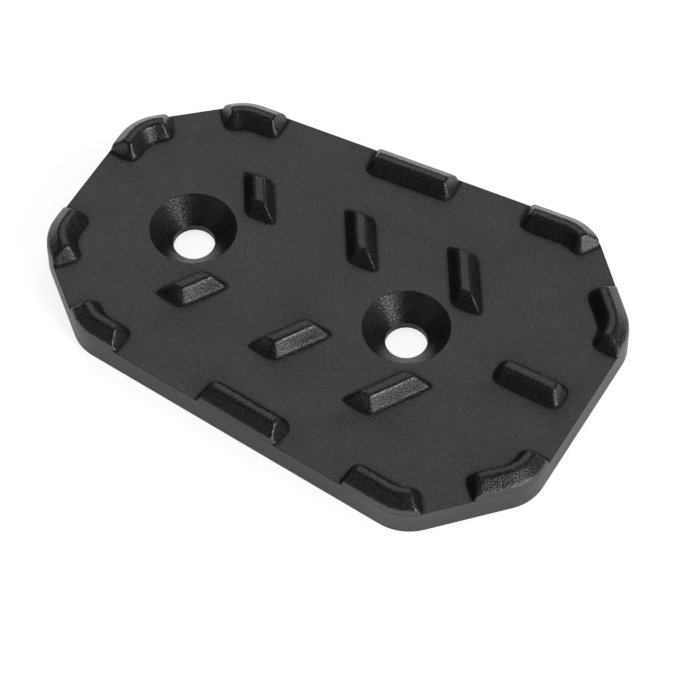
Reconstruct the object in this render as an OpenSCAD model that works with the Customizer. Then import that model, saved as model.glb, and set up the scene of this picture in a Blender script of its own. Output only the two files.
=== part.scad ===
// Brake pedal extension: a tapered eight-sided tread plate with two countersunk screw holes.
// Drafted teeth follow the rim of the plate and stand in two mirrored rows inside it.
// +X runs along the plate to its wide end, +Y runs across it and +Z is the side that the boot meets.
// The origin is at the middle of the underside.

/* [Plate] */
// Length of the plate
plate_l = 78; // [70:1:96]
// Thickness of the plate without its teeth
plate_t = 4.2; // [3.8:0.1:8]
// Distance of the four long-side corners from the middle, along the plate
shoulder_x = 26.3; // [25:0.1:29]
// Width across the corners near the narrow end
narrow_w = 45.2; // [43:0.1:49]
// Width across the corners near the wide end
wide_w = 54.5; // [52:0.1:60]
// Width of the narrow end face
narrow_end_w = 23.4; // [20:0.1:27]
// Width of the wide end face
wide_end_w = 28.3; // [25:0.1:31]
// Radius of the eight corners of the outline
corner_r = 7; // [6:0.1:8]
// Bevel round the underside
under_bevel = 0.3; // [0.1:0.05:0.8]

/* [Screw holes] */
// Distance from the middle to the hole near the narrow end
near_hole_x = 21.8; // [19:0.1:24]
// Distance from the middle to the hole near the wide end
far_hole_x = 11.9; // [10:0.1:14]
// Diameter of the screw holes
bore_d = 5.8; // [5.3:0.1:6.6]
// Diameter of the countersinks at the top face
sink_d = 12.1; // [10:0.1:12.6]
// Full angle of the countersinks
sink_angle = 90; // [85:1:100]

/* [Teeth] */
// Height of the teeth above the plate
tooth_h = 2.4; // [1.5:0.1:3.2]
// Angle of the drafted tooth sides from upright
draft = 25; // [15:1:28]
// Fillet at the foot of the teeth
foot_r = 0.4; // [0.2:0.05:0.6]
// Width of the flat top on an inner tooth
top_w = 1.5; // [1:0.1:2.4]
// Width of the flat top on a rim tooth
rim_top_w = 1.1; // [0.8:0.1:2]
// Width of the outer bevel on a rim tooth
rim_bevel_w = 1.8; // [1:0.05:2.2]
// Height of the upright outer wall of a rim tooth above the plate
rim_wall_h = 0.9; // [0.4:0.05:1.3]
// Step from the edge of the plate in to that wall
rim_inset = 0.02; // [0.02:0.01:0.2]

/* [Rim teeth] */
// Top length on the narrow end face of the tooth round the narrow end corner
end_near_run = 1.7; // [0.5:0.1:4]
// Top length on the slanted side of the same tooth
end_slant_run = 1.0; // [0.2:0.1:1.5]
// Top length on the slanted side of the tooth round the narrow shoulder
narrow_slant_run = 0.6; // [0.2:0.1:1.2]
// Top length on the long side of the same tooth
narrow_long_run = 2.8; // [1:0.1:4]
// Top length on the long side of the tooth round the wide shoulder
wide_long_run = 5.2; // [3:0.1:7]
// Angle round the corner that the same tooth's top covers
wide_turn = 38; // [30:1:42]
// Top length on the slanted side of the tooth round the wide end corner
far_slant_run = 4.2; // [2:0.1:5]
// Top length on the wide end face of the same tooth
far_end_run = 0.6; // [0.2:0.1:2.5]
// Top length of the straight tooth in the middle of a long side
mid_l = 10.5; // [6:0.1:14]
// Offset of that tooth's middle towards the narrow end
mid_shift = 0.2; // [0:0.1:1]

/* [Inner teeth] */
// Slant of the inner teeth from the length of the plate
slant = 58; // [50:1:65]
// Distances from the middle to the inner teeth, along the plate, at their inner ends
slant_x = [-15.24, 1.04, 16.89];
// Distances from the centre line to the inner ends of their tops
slant_y = [6.95, 6.92, 7.6];
// Distance from the long side of the plate to the outer ends of their tops
side_gap = 12.4; // [11:0.1:14]
// Length of the top of the tooth on the centre line
tail_l = 7.7; // [5:0.1:9]
// Distance from the middle to the middle of that tooth
tail_x = 30.9; // [29:0.1:32]

/* [Hidden] */
$fn = 96;
// Depth to which the teeth are rooted in the plate
root = 1;
// Reach of cutting tools past the surface that they cut
clear = 1;
// Flat steps round a tooth's foot fillet and its round corners, and the angle of one round the plate
fillet_steps = 2;
round_steps = 5;
arc_step = 6;

// Run of a drafted side with no fillet, what the fillet adds, and both together
side_run = tooth_h * tan(draft);
fillet_run = foot_r * tan((90 - draft) / 2);
foot_run = side_run + fillet_run;
rim_inner = rim_bevel_w + rim_top_w;

// Outline corners of the half with positive Y, from the narrow end to the wide end
half_corners = [
    [-plate_l / 2, narrow_end_w / 2],
    [-shoulder_x, narrow_w / 2],
    [shoulder_x, wide_w / 2],
    [plate_l / 2, wide_end_w / 2]
];
// The same corners with the mirrored neighbours at both ends
chain = concat(
    [[-plate_l / 2, -narrow_end_w / 2]],
    half_corners,
    [[plate_l / 2, -wide_end_w / 2]]
);

// Directions, turns and arc centres along the chain, for corner k from 1 to 4
function heading(k) = atan2(chain[k + 1][1] - chain[k][1], chain[k + 1][0] - chain[k][0]);
function turn(k) = heading(k - 1) - heading(k);
function ahead(a) = [cos(a), sin(a)];
function inward(a) = [sin(a), -cos(a)];
function reach(k) = corner_r * tan(turn(k) / 2);
function arc_start(k) = chain[k] - reach(k) * ahead(heading(k - 1));
function arc_end(k) = chain[k] + reach(k) * ahead(heading(k));
function arc_centre(k) = arc_start(k) + corner_r * inward(heading(k - 1));
function flip(p) = [p[0], -p[1]];

// Height of the long side's edge above the centre line, at a distance x from the middle
side_slope = (wide_w - narrow_w) / (4 * shoulder_x);
function side_y(x) = (wide_w + narrow_w) / 4 + side_slope * x;
side_angle = atan(side_slope);

// Flat plate with rounded corners and a bevelled underside
module blank() {
    hull() {
        for (k = [1:4], side = [0, 1]) {
            mirror([0, side, 0]) translate(arc_centre(k)) {
                cylinder(h = under_bevel, r1 = corner_r - under_bevel, r2 = corner_r);
                translate([0, 0, under_bevel]) cylinder(h = plate_t - under_bevel, r = corner_r);
            }
        }
    }
}

// Screw hole with a countersink that a flat head seats in
module screw_hole() {
    sink_depth = (sink_d - bore_d) / 2 / tan(sink_angle / 2);
    widening = clear * tan(sink_angle / 2);
    translate([0, 0, -clear]) cylinder(h = plate_t + clear, d = bore_d);
    translate([0, 0, plate_t - sink_depth]) {
        cylinder(h = sink_depth + clear, d1 = bore_d, d2 = sink_d + 2 * widening);
    }
}

// Offsets out from the top edge of a tooth, and heights, down its fillet and into the plate
foot_levels = concat(
    [for (i = [0:fillet_steps])
        let (a = 180 + draft + (90 - draft) * i / fillet_steps)
        [foot_run, foot_r] + foot_r * ahead(a)],
    [[foot_run, -root]]
);
inner_levels = concat([[0, tooth_h]], foot_levels);
rim_levels = concat([[0, tooth_h], [(tooth_h - rim_wall_h) * tan(draft), rim_wall_h]], foot_levels);

// A point on the plate's top plane, raised
function raised(p, h) = [p[0], p[1], plate_t + h];

// Solid through loops of points from the top down, each counter-clockwise from above.
// Its cap is the triangles that close a loop.
module loft(loops, cap) {
    n = len(loops[0]);
    last = (len(loops) - 1) * n;
    sides = [for (j = [0:len(loops) - 2], i = [0:n - 1])
        let (a = j * n + i, b = j * n + (i + 1) % n)
        each [[a, b, b + n], [a, b + n, a + n]]];
    top = [for (t = cap) [t[2], t[1], t[0]]];
    bottom = [for (t = cap) [for (i = t) last + i]];
    polyhedron([for (loop = loops) each loop], concat(top, sides, bottom));
}

// Loop at a distance d out from a flat top's outline, which runs counter-clockwise.
// Wide corners are swept round, and sharp ones are mitred to a point.
function inner_loop(top, d, h) = [for (i = [0:len(top) - 1])
    let (
        back = top[i] - top[(i + len(top) - 1) % len(top)],
        on = top[(i + 1) % len(top)] - top[i],
        out = atan2(back[1], back[0]) - 90,
        bend = (atan2(on[1], on[0]) - 90 - out + 360) % 360
    )
    each bend < 91
        ? [for (s = [0:round_steps]) raised(top[i] + d * ahead(out + bend * s / round_steps), h)]
        : [raised(top[i] + d / cos(bend / 2) * ahead(out + bend / 2), h)]];

// Tooth with a flat top of any convex outline
module inner_tooth(top) {
    loops = [for (level = inner_levels) inner_loop(top, level[0], level[1])];
    loft(loops, [for (i = [1:len(loops[0]) - 2]) [0, i, i + 1]]);
}

// Slanted inner tooth i, whose ends lie parallel to the long side
module slanted_tooth(i) {
    foot = [slant_x[i], slant_y[i]];
    back = -ahead(-slant);
    half_end = top_w / 2 / sin(slant + side_angle) * ahead(side_angle);
    rise = side_y(foot[0]) - side_gap - foot[1];
    length = rise / (back[1] - side_slope * back[0]);
    head = foot + length * back;
    inner_tooth([foot - half_end, foot + half_end, head + half_end, head - half_end]);
}

// Tooth on the centre line near the wide end
module tail_tooth() {
    half = [tail_l, top_w] / 2;
    middle = [tail_x, 0];
    inner_tooth([middle - half, middle + flip(half), middle + half, middle - flip(half)]);
}

// Stations along the plate's edge, each a point and a heading: on corner k's arc, from its start
// through an angle, and at a distance before or after an arc
function arc_stations(k, angle) = let (steps = ceil(angle / arc_step))
    [for (i = [0:steps])
        let (a = heading(k - 1) - angle * i / steps)
        [arc_centre(k) - corner_r * inward(a), a]];
function station_before(k, run) = [arc_start(k) - run * ahead(heading(k - 1)), heading(k - 1)];
function station_after(k, run) = [arc_end(k) + run * ahead(heading(k)), heading(k)];

// A station's point moved in from the edge, and the same carried on past the last station,
// by a distance d along a straight edge or round a curved one
function inset(station, x) = station[0] + x * inward(station[1]);
function past(station, x, d, curved) =
    let (a = asin(d / (corner_r - x)))
    curved
        ? inset(station, corner_r) - (corner_r - x) * inward(station[1] - a)
        : inset(station, x) + d * ahead(station[1]);

// Loop of a rim tooth at a distance d out from the inner side and ends of its flat top,
// with its outer wall at a distance x in from the plate's edge
function rim_loop(stations, d, h, x, curved) =
    let (
        first = stations[0],
        final = stations[len(stations) - 1],
        turns = [for (s = [0:round_steps]) 90 * s / round_steps],
        points = concat(
            [for (a = turns) inset(first, rim_inner) + d * ahead(first[1] + 180 + a)],
            [for (j = [1:1:len(stations) - 2]) inset(stations[j], rim_inner + d)],
            [for (a = turns) inset(final, rim_inner) + d * ahead(final[1] - 90 + a)],
            [past(final, x, d, curved)],
            [for (j = [len(stations) - 1:-1:0]) inset(stations[j], x)],
            [inset(first, x) - d * ahead(first[1])]
        )
    )
    [for (p = points) raised(p, h)];

// Rim tooth whose flat top runs through the stations
module rim_tooth(stations, curved = false) {
    n = len(stations);
    inner = round_steps;
    outer = 2 * round_steps + 2 * n;
    cap = concat(
        [for (j = [0:n - 2]) each [
            [inner + j, inner + j + 1, outer - j - 1],
            [inner + j, outer - j - 1, outer - j]
        ]],
        [for (m = [0:round_steps]) [outer - n + 1, inner + n - 1 + m, inner + n + m]],
        [[outer, outer + 1, 0]],
        [for (m = [0:round_steps - 1]) [outer, m, m + 1]]
    );
    loops = [for (level = rim_levels)
        let (x = level[1] > rim_wall_h ? rim_bevel_w : rim_inset)
        rim_loop(stations, level[0], level[1], x, curved)];
    loft(loops, cap);
}

// Rim tooth round corner k, with its top's length before and after the arc
module corner_tooth(k, before, after) {
    rim_tooth(concat([station_before(k, before)], arc_stations(k, turn(k)), [station_after(k, after)]));
}

// Rim tooth that stops part of the way round the wide shoulder
module shoulder_tooth() {
    rim_tooth(concat([station_before(3, wide_long_run)], arc_stations(3, wide_turn)), true);
}

// Straight rim tooth in the middle of a long side
module middle_tooth() {
    middle = [-mid_shift, side_y(-mid_shift)];
    half = mid_l / 2 * ahead(side_angle);
    rim_tooth([[middle - half, side_angle], [middle + half, side_angle]]);
}

// Teeth of the half with positive Y
module half_teeth() {
    corner_tooth(1, end_near_run, end_slant_run);
    corner_tooth(2, narrow_slant_run, narrow_long_run);
    middle_tooth();
    shoulder_tooth();
    corner_tooth(4, far_slant_run, far_end_run);
    for (i = [0:len(slant_x) - 1]) slanted_tooth(i);
}

module tread_plate() {
    color([0.16, 0.16, 0.17])
    difference() {
        union() {
            blank();
            half_teeth();
            mirror([0, 1, 0]) half_teeth();
            tail_tooth();
        }
        translate([-near_hole_x, 0, 0]) screw_hole();
        translate([far_hole_x, 0, 0]) screw_hole();
    }
}

tread_plate();
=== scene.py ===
"""Anodised finish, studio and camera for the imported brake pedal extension.

It runs as a script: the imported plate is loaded, gets its finish, and is set on a white floor
under soft lamps.
"""

import math

import bmesh
import bpy
import numpy as np
from bpy.props import FloatProperty, FloatVectorProperty, IntProperty, PointerProperty
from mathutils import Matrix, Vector


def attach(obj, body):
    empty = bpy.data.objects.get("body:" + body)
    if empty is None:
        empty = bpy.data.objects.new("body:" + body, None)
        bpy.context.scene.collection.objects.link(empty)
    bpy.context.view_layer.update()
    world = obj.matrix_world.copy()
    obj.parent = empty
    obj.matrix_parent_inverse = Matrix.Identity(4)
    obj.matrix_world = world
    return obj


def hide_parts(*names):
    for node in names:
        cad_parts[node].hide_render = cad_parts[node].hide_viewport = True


bl_info = {
    "name": "Brake pedal extension looks",
    "version": (1, 0, 0),
    "blender": (4, 5, 0),
    "location": "View3D > Sidebar > Pedal plate",
    "description": "Finish, studio and camera for a packed brake pedal extension",
    "category": "Object",
}

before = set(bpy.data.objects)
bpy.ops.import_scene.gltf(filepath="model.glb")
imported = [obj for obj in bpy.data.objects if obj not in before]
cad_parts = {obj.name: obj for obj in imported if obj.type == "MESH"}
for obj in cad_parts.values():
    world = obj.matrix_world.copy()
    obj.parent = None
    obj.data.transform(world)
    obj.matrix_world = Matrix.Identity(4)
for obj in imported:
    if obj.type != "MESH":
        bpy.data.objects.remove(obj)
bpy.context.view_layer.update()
NODE = "tread_plate"
BODY = "root"

# Lengths in metres
MERGE_REACH = 0.000001
SEAM_RISE = 0.00004
SOFT_RISE = 0.00015
FLOOR_DROP = 0.00005

SHARP_ANGLE = math.radians(40.0)
FLOOR_RINGS = 24
FLOOR_SPOKES = 96
SENSOR_WIDTH = 36.0

# Name, azimuth and elevation in degrees, distance, width and height in metres, and the level's name
LAMPS = (
    ("overhead_lamp", 121.0, 54.0, 1.2, 1.0, 0.8, "overhead_level"),
    ("side_lamp", -16.0, 11.0, 1.0, 0.34, 0.66, "side_level"),
    ("right_lamp", 33.0, 20.0, 1.2, 0.5, 0.5, "right_level"),
    ("front_lamp", -122.0, 22.0, 1.2, 1.0, 0.7, "front_level"),
)


class PlateFinish(bpy.types.PropertyGroup):
    """Sizes and colours of the plate's bead-blasted, anodised skin."""

    colour: FloatVectorProperty(
        name="Colour",
        description="Colour of the anodised skin",
        subtype="COLOR",
        size=4,
        default=(0.024, 0.024, 0.0248, 1.0),
    )
    fleck_colour: FloatVectorProperty(
        name="Fleck colour",
        description="Colour of the bright flecks in the skin",
        subtype="COLOR",
        size=4,
        default=(0.08, 0.08, 0.0815, 1.0),
    )
    roughness: FloatProperty(
        name="Roughness",
        description="Mean roughness of the blasted skin",
        default=0.34,
    )
    grain: FloatProperty(
        name="Grain",
        description="Width of one pit of the blasted grain",
        unit="LENGTH",
        default=0.00026,
    )
    grain_height: FloatProperty(
        name="Grain height",
        description="Height of the blasted grain",
        unit="LENGTH",
        default=0.000055,
    )
    soft_edge: FloatProperty(
        name="Soft edge",
        description="Radius that blasting gives to the plate's sharp edges",
        unit="LENGTH",
        default=0.00015,
    )
    # Painted shade: the corners round the teeth are darkened out to this reach.
    crease_shade: FloatProperty(
        name="Crease",
        description="Reach of the matt dust in the corners round the teeth",
        unit="LENGTH",
        default=0.001,
    )
    # Painted shade: the colour of the darkening in the corners round the teeth.
    crease_shade_colour: FloatVectorProperty(
        name="Crease colour",
        description="Colour of the matt dust in the corners",
        subtype="COLOR",
        size=4,
        default=(0.012, 0.012, 0.0122, 1.0),
    )
    skin_step: FloatProperty(
        name="Skin step",
        description="Width of one face of the softened teeth",
        unit="LENGTH",
        default=0.00016,
    )
    tooth_foot: FloatProperty(
        name="Tooth foot",
        description="Height of the teeth's feet, above which the edges are softened most",
        unit="LENGTH",
        default=0.0042,
    )
    tooth_rounds: IntProperty(
        name="Tooth rounds",
        description="Number of smoothing rounds over the teeth",
        default=17,
    )


class Studio(bpy.types.PropertyGroup):
    """Places and levels of the floor, the lamps and the camera."""

    camera_place: FloatVectorProperty(
        name="Camera place",
        description="Place of the camera",
        subtype="TRANSLATION",
        default=(0.148745, -0.248665, 0.403349),
    )
    camera_turn: FloatVectorProperty(
        name="Camera turn",
        description="Turn of the camera",
        subtype="EULER",
        default=(0.614539, 0.007735, 0.523810),
    )
    lens: FloatProperty(
        name="Lens",
        description="Focal length on a sensor 36 mm wide",
        unit="CAMERA",
        default=192.01,
    )
    floor_radius: FloatProperty(
        name="Floor radius",
        description="Radius of the white floor",
        unit="LENGTH",
        default=1.6,
    )
    overhead_level: FloatProperty(
        name="Overhead level",
        description="Radiance of the large soft lamp above and behind the plate",
        default=1.13,
    )
    side_level: FloatProperty(
        name="Side level",
        description="Radiance of the low soft lamp at the wide end",
        default=9.6,
    )
    right_level: FloatProperty(
        name="Right level",
        description="Radiance of the small lamp to the right and behind",
        default=0.25,
    )
    front_level: FloatProperty(
        name="Front level",
        description="Radiance of the weak lamp on the camera's side",
        default=0.19,
    )
    backdrop_level: FloatProperty(
        name="Backdrop level",
        description="Strength of the low white backdrop behind the plate",
        default=0.9,
    )
    room_level: FloatProperty(
        name="Room level",
        description="Strength of the room's light away from its lamps",
        default=0.05,
    )


class Shade:
    """A shader value. Arithmetic on it adds the Math nodes that work it out."""

    def __init__(self, tree, socket):
        self.tree = tree
        self.socket = socket

    @staticmethod
    def node(tree, kind, settings=None, sockets=None, output=0):
        """Adds a node, sets its settings and then its sockets, and gives one of its outputs."""
        made = tree.nodes.new(kind)
        for name, value in (settings or {}).items():
            if name == "stops":
                while len(made.color_ramp.elements) < len(value):
                    made.color_ramp.elements.new(1.0)
                for stop, (place, level) in zip(made.color_ramp.elements, value):
                    stop.position = place
                    stop.color = (level, level, level, 1.0)
            else:
                setattr(made, name, value)
        for key, value in (sockets or {}).items():
            if isinstance(value, Shade):
                tree.links.new(value.socket, made.inputs[key])
            else:
                made.inputs[key].default_value = value
        return Shade(tree, made.outputs[output])

    def maths(self, operation, first, second):
        return Shade.node(self.tree, "ShaderNodeMath", {"operation": operation}, {0: first, 1: second})

    def __add__(self, other):
        return self.maths("ADD", self, other)

    def __radd__(self, other):
        return self.maths("ADD", other, self)

    def __sub__(self, other):
        return self.maths("SUBTRACT", self, other)

    def __rsub__(self, other):
        return self.maths("SUBTRACT", other, self)

    def __mul__(self, other):
        return self.maths("MULTIPLY", self, other)

    def __rmul__(self, other):
        return self.maths("MULTIPLY", other, self)


def new_material(name):
    """A material with an empty node tree, and its output node."""
    material = bpy.data.materials.new(name)
    material.use_nodes = True
    tree = material.node_tree
    tree.nodes.clear()
    return material, tree, tree.nodes.new("ShaderNodeOutputMaterial")


def smooth_step(value, low, high):
    """0 up to low, 1 from high, and a smooth step between them."""
    span = {"Value": value, "From Min": low, "From Max": high}
    return Shade.node(value.tree, "ShaderNodeMapRange", {"interpolation_type": "SMOOTHSTEP"}, span)


def blasted_skin(finish):
    """Bead-blasted and anodised: dark, with fine grain, slow cloudiness, bright flecks and painted shade in
    the creases.
    """
    cloud_size = 0.006
    fleck_size = 1.3 * finish.grain
    fleck_range = (0.67, 0.74)
    dusk_range = (0.36, 0.64)
    dark_share = 0.55
    light_share = 1.45
    grain_swing = 0.52
    cloud_swing = 0.06
    noise_mean = 0.5
    crease_shade_share = 0.9
    open_range = (0.80, 0.985)
    material, tree, end = new_material("anodised_skin")

    def noise(size, detail, offset):
        place = Shade.node(tree, "ShaderNodeTexCoord", output="Object")
        place = Shade.node(tree, "ShaderNodeMapping", {}, {"Vector": place, "Location": offset})
        sockets = {"Vector": place, "Scale": 1.0 / size, "Detail": detail, "Roughness": 0.6}
        return Shade.node(tree, "ShaderNodeTexNoise", {}, sockets)

    def scaled(share):
        return [share * part for part in finish.colour[:3]] + [1.0]

    def mixed(factor, first, second):
        sockets = {"Factor": factor, 6: first, 7: second}
        return Shade.node(tree, "ShaderNodeMix", {"data_type": "RGBA"}, sockets, 2)

    grain = noise(finish.grain, 1.0, (0.0, 0.0, 0.0))
    cloud = noise(cloud_size, 3.0, (0.3, 0.1, 0.2))
    fleck = noise(fleck_size, 1.0, (0.7, 0.4, 0.5))
    stops = [(0.0, 0.0), (fleck_range[0], 0.0), (fleck_range[1], 1.0)]
    fleck = Shade.node(tree, "ShaderNodeValToRGB", {"stops": stops}, {0: fleck})
    dusk = smooth_step(grain, *dusk_range)
    colour = mixed(dusk, scaled(dark_share), scaled(light_share))
    colour = mixed(fleck, colour, finish.fleck_colour)
    soft = Shade.node(tree, "ShaderNodeBevel", {"samples": 16}, {"Radius": finish.soft_edge})
    bump = Shade.node(
        tree,
        "ShaderNodeBump",
        {},
        {"Strength": 1.0, "Distance": finish.grain_height, "Height": grain, "Normal": soft},
    )
    roughness = finish.roughness + grain_swing * (grain - noise_mean) + cloud_swing * (cloud - noise_mean)
    shader = Shade.node(
        tree,
        "ShaderNodeBsdfPrincipled",
        {},
        {"Base Color": colour, "Roughness": roughness, "Normal": bump, "Metallic": 0.0, "IOR": 1.6},
    )
    # Painted shade: where ambient occlusion finds the corners round the teeth closed in, a dark matt shader
    # is mixed in and darkens them.
    open_sky = Shade.node(
        tree,
        "ShaderNodeAmbientOcclusion",
        {"samples": 12, "only_local": True},
        {"Distance": finish.crease_shade},
        1,
    )
    crease_shade = crease_shade_share * (1 - smooth_step(open_sky, *open_range))
    painted_shade = Shade.node(tree, "ShaderNodeBsdfDiffuse", {}, {"Color": finish.crease_shade_colour})
    both = Shade.node(tree, "ShaderNodeMixShader", {}, {0: crease_shade, 1: shader, 2: painted_shade})
    tree.links.new(both.socket, end.inputs["Surface"])
    return material


def read_array(items, name, width, kind):
    """One property of all the items, as an array with the given width."""
    values = np.empty(len(items) * width, kind)
    items.foreach_get(name, values)
    return values.reshape(-1, width)


def soften(mesh, foot, rounds):
    """Moves each point, round after round: p = p + s * (mean of its neighbours - p) / 2.

    The share s is (height above the foot) / SOFT_RISE, held between 0 and 1.
    """
    place = read_array(mesh.vertices, "co", 3, np.float32).astype(float)
    ends = read_array(mesh.edges, "vertices", 2, np.int32)
    start = ends.ravel()
    other = ends[:, ::-1].ravel()
    near = np.bincount(start, minlength=len(place))[:, None]
    for _ in range(rounds):
        sums = [np.bincount(start, place[other, axis], len(place)) for axis in range(3)]
        mean = np.stack(sums, -1) / near
        share = np.clip((place[:, 2] - foot) / SOFT_RISE, 0.0, 1.0)
        place += 0.5 * share[:, None] * (mean - place)
    mesh.vertices.foreach_set("co", place.astype(np.float32).ravel())
    mesh.update()


def keep_side(shape, height, above):
    """Cuts a shape level at a height, keeps one side, and closes what the cut left open."""
    parts = list(shape.verts) + list(shape.edges) + list(shape.faces)
    bmesh.ops.bisect_plane(
        shape,
        geom=parts,
        plane_co=(0.0, 0.0, height),
        plane_no=(0.0, 0.0, 1.0),
        clear_inner=above,
        clear_outer=not above,
    )
    rims = [edge for edge in shape.edges if edge.is_boundary]
    bmesh.ops.holes_fill(shape, edges=rims)


def soft_plate(finish):
    """The plate as its solid has it, and its teeth in small even faces, smoothed."""
    shape = bmesh.new()
    shape.from_mesh(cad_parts[NODE].data)
    bmesh.ops.remove_doubles(shape, verts=shape.verts, dist=MERGE_REACH)
    mesh = bpy.data.meshes.new("tread_plate_skin")
    shape.to_mesh(mesh)
    skin = bpy.data.objects.new("tread_plate_skin", mesh)
    bpy.context.scene.collection.objects.link(skin)
    even = skin.modifiers.new("even", "REMESH")
    even.mode = "VOXEL"
    even.voxel_size = finish.skin_step
    bpy.context.view_layer.update()
    shaped = skin.evaluated_get(bpy.context.evaluated_depsgraph_get())
    teeth_mesh = bpy.data.meshes.new_from_object(shaped)
    skin.modifiers.clear()
    soften(teeth_mesh, finish.tooth_foot, finish.tooth_rounds)
    seam = finish.tooth_foot + SEAM_RISE
    keep_side(shape, seam, False)
    teeth = bmesh.new()
    teeth.from_mesh(teeth_mesh)
    keep_side(teeth, seam, True)
    teeth.to_mesh(teeth_mesh)
    shape.from_mesh(teeth_mesh)
    shape.to_mesh(mesh)
    shape.free()
    teeth.free()
    mesh.attributes.remove(mesh.attributes["custom_normal"])
    mesh.shade_smooth()
    mesh.set_sharp_from_angle(angle=SHARP_ANGLE)
    return skin


def ray_kinds(tree):
    """Two values: 1 for what the camera sees, also through clear parts, and 1 for what gloss reflects."""
    path = tree.nodes.new("ShaderNodeLightPath")
    seen = Shade(tree, path.outputs["Is Camera Ray"]) + Shade(tree, path.outputs["Is Transmission Ray"])
    return seen, Shade(tree, path.outputs["Is Glossy Ray"])


def white_floor_material():
    """Diffuse white, with its own light for what the camera and gloss see, and less of it by the plate."""
    plate_shape = (0.7, 1.0, 1.0)
    plate_range = (0.027, 0.042)
    seen_level = 0.82
    seen_rise = 0.08
    gloss_level = 0.42
    gloss_rise = 0.8
    white = (1.0, 1.0, 1.0, 1.0)
    material, tree, end = new_material("white_floor")
    seen, gloss = ray_kinds(tree)
    place = Shade.node(tree, "ShaderNodeTexCoord", output="Object")
    place = Shade.node(tree, "ShaderNodeMapping", {}, {"Vector": place, "Scale": plate_shape})
    away = Shade.node(tree, "ShaderNodeVectorMath", {"operation": "LENGTH"}, {0: place}, 1)
    # Painted shadow: the floor's own light, as the camera sees it and in reflections, is dimmer near the
    # plate.
    open_floor = smooth_step(away, *plate_range)
    level = (seen_level + seen_rise * open_floor) * seen + (gloss_level + gloss_rise * open_floor) * gloss
    glow = Shade.node(tree, "ShaderNodeEmission", {}, {"Color": white, "Strength": level})
    matt = Shade.node(tree, "ShaderNodeBsdfDiffuse", {}, {"Color": (0.8, 0.8, 0.8, 1.0)})
    both = Shade.node(tree, "ShaderNodeAddShader", {}, {0: glow, 1: matt})
    tree.links.new(both.socket, end.inputs["Surface"])
    return material


def light_room(studio):
    """World: full strength where the camera sees it, and a dim room with a low backdrop for all else."""
    backdrop_way = (-0.3, 0.95, 0.0)
    backdrop_range = (-0.2, 0.5)
    backdrop_top = (0.02, 0.12)
    world = bpy.data.worlds.new("studio_room")
    world.use_nodes = True
    tree = world.node_tree
    tree.nodes.clear()
    end = tree.nodes.new("ShaderNodeOutputWorld")
    seen, _ = ray_kinds(tree)
    way = Shade.node(tree, "ShaderNodeTexCoord", output="Generated")
    along = {0: way, 1: backdrop_way}
    behind = Shade.node(tree, "ShaderNodeVectorMath", {"operation": "DOT_PRODUCT"}, along, 1)
    height = Shade.node(tree, "ShaderNodeSeparateXYZ", {}, {0: way}, 2)
    backdrop = smooth_step(behind, *backdrop_range) * (1 - smooth_step(height, *backdrop_top))
    level = seen + (1 - seen) * (studio.room_level + studio.backdrop_level * backdrop)
    glow = Shade.node(tree, "ShaderNodeBackground", {}, {"Strength": level})
    tree.links.new(glow.socket, end.inputs["Surface"])
    bpy.context.scene.world = world


def floor_disc(radius, rings, spokes):
    """Flat disc under the plate: x = r * cos(a), y = r * sin(a).

    Ring i has r = radius * (i / rings) ** 2, and spoke j has a = 2 * pi * j / spokes.
    """
    reach = radius * (np.arange(1, rings + 1) / rings) ** 2
    turn = np.arange(spokes) * (2 * math.pi / spokes)
    x = reach[:, None] * np.cos(turn)
    y = reach[:, None] * np.sin(turn)
    z = np.full_like(x, -FLOOR_DROP)
    points = np.concatenate([[[0.0, 0.0, -FLOOR_DROP]], np.stack([x, y, z], -1).reshape(-1, 3)])
    index = 1 + np.arange(rings * spokes).reshape(rings, spokes)
    after = np.roll(index, -1, axis=1)
    quads = np.stack([index[:-1], index[1:], after[1:], after[:-1]], -1).reshape(-1, 4)
    middle = np.stack([np.zeros(spokes, int), index[0], after[0]], -1)
    mesh = bpy.data.meshes.new("floor")
    mesh.from_pydata(points.tolist(), [], middle.tolist() + quads.tolist())
    return mesh


def soft_lamp(name, azimuth, elevation, distance, width, height, level):
    """Area lamp aimed at the plate. Its power in watts is pi times its area times its radiance."""
    data = bpy.data.lights.new(name, "AREA")
    data.shape = "RECTANGLE"
    data.size = width
    data.size_y = height
    data.energy = math.pi * width * height * level
    lamp = bpy.data.objects.new(name, data)
    bpy.context.scene.collection.objects.link(lamp)
    turn = math.radians(azimuth)
    rise = math.radians(elevation)
    way = Vector((math.cos(rise) * math.cos(turn), math.cos(rise) * math.sin(turn), math.sin(rise)))
    lamp.location = distance * way
    lamp.rotation_euler = (-way).to_track_quat("-Z", "Y").to_euler()


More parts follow.
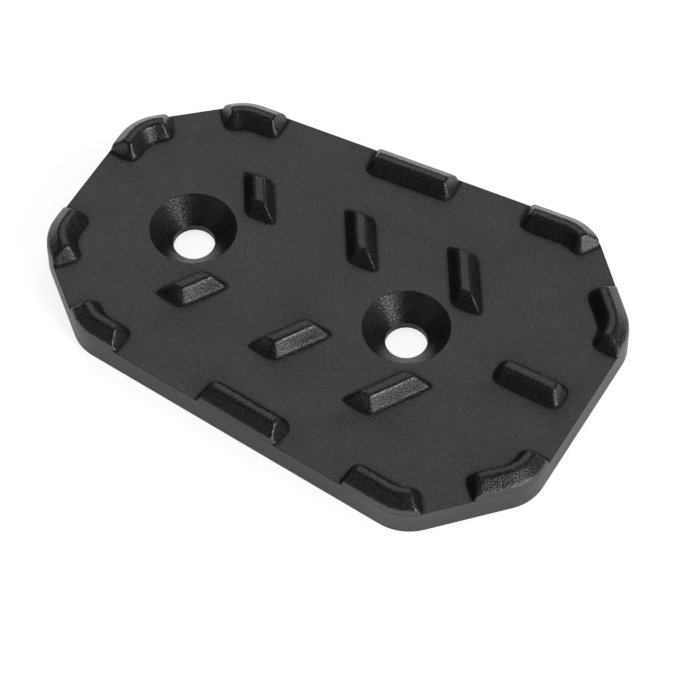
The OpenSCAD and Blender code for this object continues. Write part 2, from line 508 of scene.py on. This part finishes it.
class PEDAL_OT_finish_plate(bpy.types.Operator):
    """Gives the plate its blasted and anodised skin"""

    bl_idname = "pedal.finish_plate"
    bl_label = "Finish the plate"

    def execute(self, context):
        finish = context.scene.plate_finish
        skin = soft_plate(finish)
        skin.data.materials.clear()
        skin.data.materials.append(blasted_skin(finish))
        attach(skin, BODY)
        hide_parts(NODE)
        return {"FINISHED"}


class PEDAL_OT_build_stage(bpy.types.Operator):
    """Lays the floor and sets the lamps, the room and the camera"""

    bl_idname = "pedal.build_stage"
    bl_label = "Build the stage"

    def execute(self, context):
        scene = context.scene
        studio = scene.pedal_studio
        disc = floor_disc(studio.floor_radius, FLOOR_RINGS, FLOOR_SPOKES)
        floor = bpy.data.objects.new("floor", disc)
        scene.collection.objects.link(floor)
        floor.data.materials.append(white_floor_material())
        for *placing, level in LAMPS:
            soft_lamp(*placing, getattr(studio, level))
        light_room(studio)
        data = bpy.data.cameras.new("camera")
        data.sensor_width = SENSOR_WIDTH
        data.lens = studio.lens
        camera = bpy.data.objects.new("camera", data)
        scene.collection.objects.link(camera)
        camera.location = studio.camera_place
        camera.rotation_euler = studio.camera_turn
        scene.camera = camera
        scene.view_settings.view_transform = "Standard"
        return {"FINISHED"}


class PEDAL_PT_panel(bpy.types.Panel):
    """Lists the steps and the sizes of the looks"""

    bl_idname = "PEDAL_PT_panel"
    bl_label = "Pedal plate"
    bl_space_type = "VIEW_3D"
    bl_region_type = "UI"
    bl_category = "Pedal plate"

    def draw(self, context):
        column = self.layout.column()
        column.operator(PEDAL_OT_finish_plate.bl_idname)
        column.operator(PEDAL_OT_build_stage.bl_idname)
        for group in (context.scene.plate_finish, context.scene.pedal_studio):
            for name in group.__annotations__:
                column.prop(group, name)


CLASSES = (PlateFinish, Studio, PEDAL_OT_finish_plate, PEDAL_OT_build_stage, PEDAL_PT_panel)


def register():
    for each in CLASSES:
        bpy.utils.register_class(each)
    bpy.types.Scene.plate_finish = PointerProperty(type=PlateFinish)
    bpy.types.Scene.pedal_studio = PointerProperty(type=Studio)


def unregister():
    del bpy.types.Scene.pedal_studio
    del bpy.types.Scene.plate_finish
    for each in reversed(CLASSES):
        bpy.utils.unregister_class(each)


def main():
    register()
    bpy.ops.pedal.finish_plate()
    bpy.ops.pedal.build_stage()


if __name__ == "__main__":
    main()
